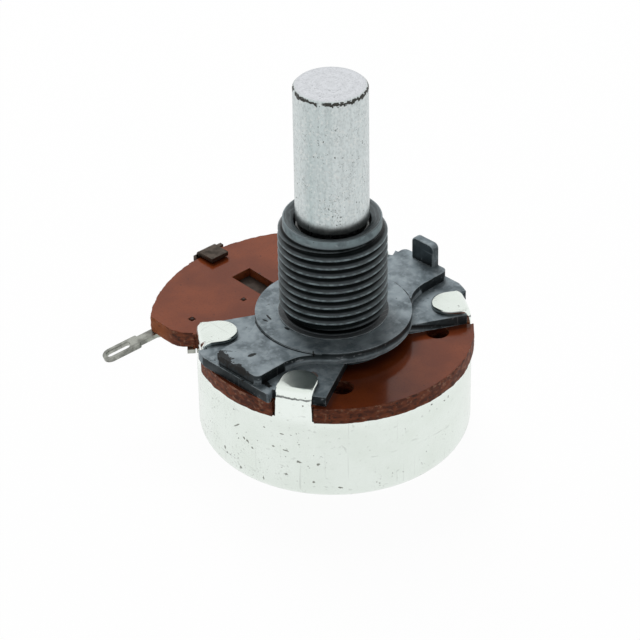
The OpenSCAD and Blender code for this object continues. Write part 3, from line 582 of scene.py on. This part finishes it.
def paper_board(settings):
    """Red-brown paper board: varnished faces, and a sheared wall of torn layers and fibres, with painted light
    on the lobe's wall.
    """
    f = Finish("paper_board", IOR=1.33)
    t, p = f.tree, f.point
    board = tuple(settings.board)
    y, z = split(t, p)[1:]
    upright = split(t, f.normal)[2]
    wall = remap(t, maths(t, "ABSOLUTE", upright), 0.75, 0.45)
    fine = grain(t, p, 6.0, 4.0)
    f.colour = blend(t, patches(t, p, 0.22, 4.0, 0.36, 0.66), board, tuple(settings.bright))
    f.lay(shaded(board, 0.6), remap(t, fine, 0.5, 0.72, 0.0, 0.4))
    f.lay(PAPER["speck"], use(t, "Specks", point=p, scale=1.1, reach=0.2, cluster=0.3), 0.8)
    layers = grain(t, p, 1.3, 6.0, stretch=(1, 1, 2.2))
    torn = grain(t, p, 2.2, 7.0, stretch=(1, 1, 1.4))
    side = blend(t, remap(t, layers, 0.36, 0.64), PAPER["dark layer"], PAPER["light layer"])
    # Painted light: past y = -7.5 mm the wall of the lobe, which the lamp doesn't reach, is laid paler
    clear = remap(t, lift(t, layers, 3.0, y), -7.5, -9.5)
    side = blend(t, times(t, clear, 0.8), side, PAPER["clear"])
    ripped = lift(t, clear, -0.5, 0.85)
    lip = remap(t, z, -2.4, -2.1, 0.0, 0.07)
    fibres = remap(t, maths(t, "ADD", torn, lip), 0.58, 0.68)
    side = blend(t, times(t, fibres, ripped), side, tuple(settings.fibre))
    side = blend(t, times(t, remap(t, torn, 0.42, 0.34), ripped), side, PAPER["gap"])
    f.lay(side, wall)
    rough = lift(t, wall, 0.5, lift(t, fine, 0.14, 0.06))
    return f.done(rough, lift(t, torn, times(t, wall, 16.0), fine), 0.1, 0.015)


def soldered_tin(settings):
    """Dull tinned brass of the outer terminals, dark where their prongs are staked in the board."""
    f = Finish("dull_tinned_brass", Metallic=1.0)
    t, p = f.tree, f.point
    tin = tuple(settings.tin)
    cloud = patches(t, p, 1.1, 5.0, 0.38, 0.66)
    f.colour = blend(t, cloud, tin, shaded(tin, 0.55))
    f.lay(BRASS["scratch"], use(t, "Scratches", point=p, scale=5.0, amount=0.8), 0.4)
    f.lay(BRASS["edge"], use(t, "Worn edge", reach=0.0001, gain=3.0), 0.6)
    f.lay(BRASS["staked"], remap(t, split(t, p)[2], -2.4, -2.3))
    return f.done(lift(t, cloud, 0.2, 0.26), cloud, 0.25, 0.03)


def tarnished_brass(settings):
    """Tarnished metal of the centre terminal, speckled over the board's edge, with painted shade on the part in
    the board's slot below it.
    """
    f = Finish("tarnished_terminal", Metallic=0.85)
    t, p = f.tree, f.point
    tarnish = tuple(settings.tarnish)
    z = split(t, p)[2]
    cloud = patches(t, p, 1.3, 5.0, 0.36, 0.66)
    f.colour = blend(t, cloud, tarnish, shaded(tarnish, 0.5))
    f.lay(shaded(tarnish, 2.2), use(t, "Worn edge", reach=0.0001, gain=3.0), 0.5)
    specks = use(t, "Specks", point=p, scale=3.0, reach=0.3, cluster=0.5)
    f.lay(BRASS["pale speck"], specks, remap(t, z, -2.2, -2.0, 0.0, 0.6))
    # Painted shade: below the board's top, the terminal's part in the slot is laid darker
    f.lay(BRASS["strip"], remap(t, z, -2.0, -2.2, 0.0, 0.55))
    return f.done(lift(t, cloud, 0.2, 0.38), cloud, 0.3, 0.03)


def plain_finish(name, light, dark, rough_at, metallic, scale):
    """A finish for the pieces inside: a clouded colour with fine scratches."""
    f = Finish(name, Metallic=metallic)
    t, p = f.tree, f.point
    cloud = patches(t, p, scale, 5.0, 0.35, 0.68)
    f.colour = blend(t, cloud, light, dark)
    f.lay(dark, use(t, "Scratches", point=p, scale=4.0, amount=0.6), 0.3)
    return f.done(lift(t, cloud, 0.15, rough_at), cloud, 0.2, 0.02)


# Finishes of the pieces inside: light and dark colour, roughness, metallic and scale, then the nodes
INSIDE = {
    "carbon_film": ((0.03, 0.03, 0.035), (0.012, 0.012, 0.013), 0.55, 0.0, 2.0,
                    ("resistive_track", "track_contact", "collector_contact")),
    "dull_silver": ((0.75, 0.74, 0.7), (0.45, 0.43, 0.38), 0.3, 1.0, 1.2,
                    ("track_end_left", "track_end_right", "collector_ring")),
    "brown_moulding": ((0.12, 0.07, 0.04), (0.06, 0.035, 0.02), 0.45, 0.0, 0.8, ("rotor",)),
    "bronze_sheet": ((0.6, 0.42, 0.2), (0.36, 0.24, 0.12), 0.3, 1.0, 1.0, ("wiper_spring", "wiper_rivets")),
    "oiled_spring_steel": ((0.4, 0.4, 0.42), (0.2, 0.2, 0.21), 0.3, 1.0, 1.0,
                           ("retaining_ring", "bowed_washer")),
    "washer_steel": ((0.62, 0.62, 0.6), (0.4, 0.4, 0.38), 0.3, 1.0, 1.0, ("thrust_washer",)),
}


def node_copy(name):
    """A CAD node's mesh with its doubles merged and its flat faces joined."""
    bm = bmesh.new()
    bm.from_mesh(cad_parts[name].data)
    bmesh.ops.remove_doubles(bm, verts=bm.verts, dist=MERGE)
    bmesh.ops.dissolve_limit(bm, angle_limit=FLAT, verts=bm.verts, edges=bm.edges)
    return bm


def soften(bm, width, segments=2, where=None, clamp=True):
    """Rounds the sharp edges, or those that a test picks."""
    edges = [e for e in bm.edges
             if len(e.link_faces) == 2 and e.calc_face_angle(0) > SHARP and (where is None or where(e))]
    bmesh.ops.bevel(bm, geom=edges, offset=width, offset_type="OFFSET", segments=segments,
                    profile=0.5, affect="EDGES", clamp_overlap=clamp, material=-1)


def plan_radius(point):
    """Distance of a point from the shaft's axis, in metres."""
    return math.hypot(point.x, point.y)


def rise(edge):
    """How far an edge climbs from one end to the other."""
    return abs(edge.verts[0].co.z - edge.verts[1].co.z)


def cut_level(bm, level, **options):
    """Cuts a mesh along a level plane."""
    bmesh.ops.bisect_plane(bm, geom=bm.verts[:] + bm.edges[:] + bm.faces[:], dist=1e-8,
                           plane_co=(0, 0, level), **options)


def settle(bm, name, material, body, replaces):
    """Makes the piece, lets it ride on its body and hides the CAD part that it replaces."""
    mesh = bpy.data.meshes.new(name)
    bm.to_mesh(mesh)
    bm.free()
    mesh.materials.append(material)
    mesh.shade_smooth()
    mesh.set_sharp_from_angle(angle=CREASED)
    piece = bpy.data.objects.new(name, mesh)
    bpy.context.scene.collection.objects.link(piece)
    even = piece.modifiers.new("Even normals", "WEIGHTED_NORMAL")
    even.weight = 100
    even.keep_sharp = True
    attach(piece, body)
    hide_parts(replaces)


def carry(bm, edges, radius, level):
    """Extrudes a round loop of edges to a new radius and level, and returns the new loop."""
    made = bmesh.ops.extrude_edge_only(bm, edges=edges)["geom"]
    fresh = {g for g in made if isinstance(g, bmesh.types.BMVert)}
    for v in fresh:
        grow = radius / plan_radius(v.co)
        v.co = Vector((v.co.x * grow, v.co.y * grow, level))
    return [g for g in made if isinstance(g, bmesh.types.BMEdge) and all(v in fresh for v in g.verts)]


def wind_thread(bm, s):
    """The bushing: a helical thread with a neck under it and a pilot with a countersunk mouth above."""
    steps = 120
    flank = s.crest - 0.05 * MM
    profile = ((s.root, 0.0), (s.root, 0.12), (flank, 0.34), (s.crest, 0.41),
               (s.crest, 0.51), (flank, 0.58), (s.root, 0.8), (s.root, 1.0))
    start = s.relief - 1.5 * s.pitch
    verts = [bm.verts.new((radius, 0, start + part * s.pitch)) for radius, part in profile]
    edges = [bm.edges.new(pair) for pair in zip(verts, verts[1:])]
    turns = math.ceil((s.thread_top - start) / s.pitch) + 2
    bmesh.ops.spin(bm, geom=verts + edges, cent=(0, 0, 0), axis=(0, 0, 1), dvec=(0, 0, s.pitch / steps),
                   angle=math.tau * turns, steps=steps * turns, use_merge=False)
    bmesh.ops.remove_doubles(bm, verts=bm.verts, dist=MERGE)
    cut_level(bm, s.relief, plane_no=(0, 0, -1), clear_outer=True)
    cut_level(bm, s.thread_top, plane_no=(0, 0, 1), clear_outer=True)

    # The thread runs out towards both of its ends
    for v in bm.verts:
        room = min(v.co.z - s.relief, s.thread_top - v.co.z)
        highest = s.root + 0.04 * MM + 1.1 * max(room, 0)
        radius = plan_radius(v.co)
        if radius > highest:
            v.co.x *= highest / radius
            v.co.y *= highest / radius

    # Radius and level of each turned ring, down from the thread's foot and up from its top
    neck = s.root - 0.03 * MM
    pilot = s.root - 0.01 * MM
    down = ((neck, s.relief - 0.05 * MM), (neck, s.collar_height + 0.06 * MM),
            (neck + 0.06 * MM, s.collar_height), (s.collar - 0.03 * MM, s.collar_height),
            (s.collar, s.collar_height - 0.03 * MM), (s.collar, -0.15 * MM), (s.bore, -0.15 * MM))
    up = ((pilot, s.thread_top + 0.03 * MM), (pilot, s.top - 0.1 * MM), (s.root - 0.04 * MM, s.top - 0.03 * MM),
          (s.root - 0.11 * MM, s.top), (s.mouth, s.top), (s.mouth - 0.07 * MM, s.top - 0.03 * MM),
          (s.mouth_foot, s.top - s.mouth_depth), (s.bore, s.top - s.mouth_depth - 0.12 * MM))
    ends = [e for e in bm.edges if e.is_boundary]
    middle = (s.relief + s.thread_top) / 2
    low = [e for e in ends if e.verts[0].co.z < middle]
    high = [e for e in ends if e.verts[0].co.z > middle]
    for radius, level in down:
        low = carry(bm, low, radius, level)
    for radius, level in up:
        high = carry(bm, high, radius, level)
    bmesh.ops.bridge_loops(bm, edges=low + high)


def seen_directly(tree):
    """Mask of the rays that see a surface from the camera, in a mirror or through glass."""
    path = put(tree, "LightPath").outputs
    return most(tree, path["Is Camera Ray"], path["Is Glossy Ray"], path["Is Transmission Ray"])


class POT_OT_stage(bpy.types.Operator):
    """Builds the white floor, the soft light and the camera"""
    bl_idname = "pot.stage"
    bl_label = "Stage"

    def execute(self, context):
        s = context.scene.pot_stage
        away = Matrix.Rotation(s.camera_side, 3, "Z") @ Vector((0, 1, 0))
        self.lay_floor(context, s)
        self.light_room(context, s, away)
        self.hang_lamp(context, s, away)
        self.aim_camera(context, s)
        context.scene.view_settings.view_transform = "Standard"
        return {"FINISHED"}

    def lay_floor(self, context, s):
        """A white floor under the can, which shows its own light and a share of the shadow."""
        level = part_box("can")[0].z
        bm = bmesh.new()
        bmesh.ops.create_grid(bm, x_segments=1, y_segments=1, size=s.floor_side / 2,
                              matrix=Matrix.Translation((0, 0, level)))
        mesh = bpy.data.meshes.new("floor")
        bm.to_mesh(mesh)
        bm.free()
        floor = bpy.data.objects.new("floor", mesh)
        context.scene.collection.objects.link(floor)
        white = bpy.data.materials.new("white_floor")
        white.use_nodes = True
        t = white.node_tree
        t.nodes.clear()
        plain = put(t, "BsdfDiffuse", {"Color": (0.95, 0.95, 0.95, 1)}).outputs[0]
        glow = put(t, "Emission", {"Color": (1, 1, 1, 1), "Strength": 1.0}).outputs[0]
        mixed = put(t, "MixShader", {0: times(t, seen_directly(t), 1 - s.shadow_share), 1: plain, 2: glow})
        put(t, "OutputMaterial", {0: mixed.outputs[0]})
        mesh.materials.append(white)

    def light_room(self, context, s, away):
        """A white room, which lights dull surfaces more from the far side than from the camera's."""
        world = bpy.data.worlds.new("white_room")
        world.use_nodes = True
        context.scene.world = world
        t = world.node_tree
        direction = put(t, "TexCoord").outputs["Generated"]
        toward = length(t, "DOT_PRODUCT", direction, (*away.xy, 0.5))
        light = remap(t, toward, 0.0, 1.0, s.front_light, s.back_light)
        back = t.nodes["Background"]
        back.inputs["Color"].default_value = (1, 1, 1, 1)
        t.links.new(most(t, seen_directly(t), light), back.inputs["Strength"])

    def hang_lamp(self, context, s, away):
        """A square softbox above and behind the part, which mirrors don't show."""
        lamp = bpy.data.lights.new("softbox", "AREA")
        lamp.shape = "SQUARE"
        lamp.size = s.lamp_side
        lamp.energy = s.lamp_power
        box = bpy.data.objects.new("softbox", lamp)
        aside = Matrix.Rotation(s.lamp_turn, 3, "Z") @ away
        up = Vector((0, 0, 1))
        box.location = s.lamp_reach * (math.cos(s.lamp_rise) * aside + math.sin(s.lamp_rise) * up)
        box.rotation_euler = Vector(box.location).to_track_quat("Z", "Y").to_euler()
        box.visible_glossy = False
        context.scene.collection.objects.link(box)

    def aim_camera(self, context, s):
        """The camera, at the photograph's viewing angle."""
        camera = bpy.data.cameras.new("camera")
        camera.lens = s.lens
        camera.sensor_width = 36
        camera.clip_start = 0.01
        view = bpy.data.objects.new("camera", camera)
        heading = Matrix.Rotation(s.camera_side, 4, "Z")
        place = heading @ Matrix.Translation((0, -s.camera_reach, s.camera_height))
        view.matrix_world = (place @ Matrix.Rotation(s.camera_aim, 4, "Z")
                             @ Matrix.Rotation(math.pi / 2 - s.camera_tilt, 4, "X")
                             @ Matrix.Rotation(s.camera_roll, 4, "Z"))
        context.scene.collection.objects.link(view)
        context.scene.camera = view


class POT_OT_can(bpy.types.Operator):
    """Builds the drawn can with its four folded tabs"""
    bl_idname = "pot.can"
    bl_label = "Can"

    def execute(self, context):
        s = context.scene.pot_can
        bm = node_copy("can")
        fold_radius = max(plan_radius(v.co) for v in bm.verts) - s.bend
        fold_level = max(v.co.z for v in bm.verts) - s.bend

        def on_fold(v):
            out, up = plan_radius(v.co) - fold_radius, v.co.z - fold_level
            return up > -MERGE and abs(math.hypot(max(out, 0), up) - s.bend) < 0.02 * MM

        soften(bm, s.tab_edge, 4, where=lambda e: all(on_fold(v) for v in e.verts), clamp=False)
        soften(bm, s.edge)
        settle(bm, "can_shell", tin_plate(s), HOUSING, "can")
        return {"FINISHED"}


class POT_OT_casting(bpy.types.Operator):
    """Builds the zinc casting: threaded bushing, flange, arms, base and locating lug"""
    bl_idname = "pot.casting"
    bl_label = "Casting"

    def execute(self, context):
        s = context.scene.pot_casting
        bm = node_copy("bushing_plate")

        # The CAD's ringed bushing goes, down to just under the mounting face
        under = -0.2 * MM
        cut_level(bm, under, plane_no=(0, 0, 1))
        hub = s.collar + 0.01 * MM
        spare = [face for face in bm.faces
                 if all(plan_radius(v.co) < hub and v.co.z > under - LEVEL for v in face.verts)]
        bmesh.ops.delete(bm, geom=spare, context="FACES")

        seam = -0.25 * MM
        soften(bm, FLANGE_CHAMFER, 1, where=lambda e: all(
            v.co.z > seam and abs(plan_radius(v.co) - FLANGE) < 0.02 * MM for v in e.verts))
        soften(bm, s.lug_edge, 3, where=lambda e: any(
            v.co.z > 0.1 * MM and plan_radius(v.co) > LUG_IN for v in e.verts))
        soften(bm, s.edge, 2, where=lambda e: not all(
            v.co.z > seam and plan_radius(v.co) < FLANGE_OUT for v in e.verts))
        bmesh.ops.bridge_loops(bm, edges=[e for e in bm.edges if e.is_boundary])

        bushing = bmesh.new()
        wind_thread(bushing, s)
        bmesh.ops.recalc_face_normals(bushing, faces=bushing.faces)
        turned = bpy.data.meshes.new("bushing")
        bushing.to_mesh(turned)
        bushing.free()
        bm.from_mesh(turned)
        bpy.data.meshes.remove(turned)
        settle(bm, "zinc_casting", cast_zinc(s), HOUSING, "bushing_plate")
        return {"FINISHED"}


class POT_OT_shaft(bpy.types.Operator):
    """Builds the turned shaft"""
    bl_idname = "pot.shaft"
    bl_label = "Shaft"

    def execute(self, context):
        s = context.scene.pot_shaft
        bm = node_copy("shaft")
        soften(bm, s.edge)
        settle(bm, "turned_shaft", turned_steel(s), SHAFT_BODY, "shaft")
        return {"FINISHED"}


class POT_OT_wafer(bpy.types.Operator):
    """Builds the paper board wafer with its sheared, fibrous wall"""
    bl_idname = "pot.wafer"
    bl_label = "Wafer"

    def execute(self, context):
        s = context.scene.pot_wafer
        bm = node_copy("wafer")
        low, high = (corner.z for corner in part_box("wafer"))

        def outer(v):
            return plan_radius(v.co) > OUTLINE_IN

        soften(bm, s.rim, 3, where=lambda e: all(outer(v) for v in e.verts) and rise(e) < LEVEL)
        soften(bm, s.edge, 1)

        # The outline's long edges and the wall are divided, so that the shearing can move them
        long_ones = [e for e in bm.edges
                     if rise(e) < LEVEL and outer(e.verts[0]) and e.calc_length() > 0.4 * MM]
        bmesh.ops.subdivide_edges(bm, edges=long_ones, cuts=2, use_grid_fill=False)
        upright = [e for e in bm.edges if rise(e) > (high - low) * 0.7 and outer(e.verts[0])]
        bmesh.ops.subdivide_edges(bm, edges=upright, cuts=6, use_grid_fill=False)
        bm.normal_update()
        for v in bm.verts:
            away = Vector((v.normal.x, v.normal.y, 0))
            if outer(v) and away.length > 0.1:
                point = v.co / MM
                wave = noise.fractal(Vector((point.x * 1.6, point.y * 1.6, point.z * 3)), 0.8, 2.0, 3)
                v.co -= away.normalized() * s.ragged * min(max(0.4 + 0.6 * wave, 0), 1)
        settle(bm, "board_wafer", paper_board(s), HOUSING, "wafer")
        return {"FINISHED"}


class POT_OT_terminals(bpy.types.Operator):
    """Builds the three solder terminals"""
    bl_idname = "pot.terminals"
    bl_label = "Terminals"

    def execute(self, context):
        s = context.scene.pot_terminals
        tinned = soldered_tin(s)
        for side in ("left", "right"):
            bm = node_copy("terminal_" + side)
            soften(bm, s.edge)
            settle(bm, side + "_solder_terminal", tinned, HOUSING, "terminal_" + side)
        bm = node_copy("terminal_centre")
        board_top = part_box("wafer")[1].z
        soften(bm, s.clip_edge, 3, where=lambda e: all(v.co.z > board_top - 0.01 * MM for v in e.verts))
        soften(bm, s.edge)
        settle(bm, "centre_solder_terminal", tarnished_brass(s), HOUSING, "terminal_centre")
        return {"FINISHED"}


class POT_OT_inside(bpy.types.Operator):
    """Gives the pieces inside the can their finishes"""
    bl_idname = "pot.inside"
    bl_label = "Inside"

    def execute(self, context):
        for finish, (*values, names) in INSIDE.items():
            material = plain_finish(finish, *values)
            for name in names:
                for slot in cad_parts[name].material_slots:
                    slot.material = material
        return {"FINISHED"}


class POT_PT_panel(bpy.types.Panel):
    """Lists the steps that dress the part"""
    bl_idname = "POT_PT_panel"
    bl_label = "Rotary potentiometer"
    bl_space_type = "VIEW_3D"
    bl_region_type = "UI"
    bl_category = "Potentiometer"

    def draw(self, context):
        for operator in OPERATORS:
            self.layout.operator(operator.bl_idname)


SETTINGS = {"pot_stage": StageSettings, "pot_casting": CastingSettings, "pot_shaft": ShaftSettings,
            "pot_wafer": WaferSettings, "pot_can": CanSettings, "pot_terminals": TerminalSettings}
OPERATORS = (POT_OT_stage, POT_OT_can, POT_OT_casting, POT_OT_shaft, POT_OT_wafer, POT_OT_terminals,
             POT_OT_inside)


def register():
    """Adds the settings, the steps and their panel to Blender."""
    for item in (*SETTINGS.values(), *OPERATORS, POT_PT_panel):
        bpy.utils.register_class(item)
    for name, group in SETTINGS.items():
        setattr(bpy.types.Scene, name, bpy.props.PointerProperty(type=group))


def unregister():
    """Takes the settings, the steps and their panel out again."""
    for name in SETTINGS:
        delattr(bpy.types.Scene, name)
    for item in (POT_PT_panel, *reversed(OPERATORS), *SETTINGS.values()):
        bpy.utils.unregister_class(item)


def main():
    """Builds the whole scene."""
    register()
    for make_effect in (make_specks, make_scratches, make_stain, make_crevice_dirt_and_shade, make_worn_edge):
        make_effect()
    bpy.ops.pot.stage()
    bpy.ops.pot.can()
    bpy.ops.pot.casting()
    bpy.ops.pot.shaft()
    bpy.ops.pot.wafer()
    bpy.ops.pot.terminals()
    bpy.ops.pot.inside()


if __name__ == "__main__":
    main()
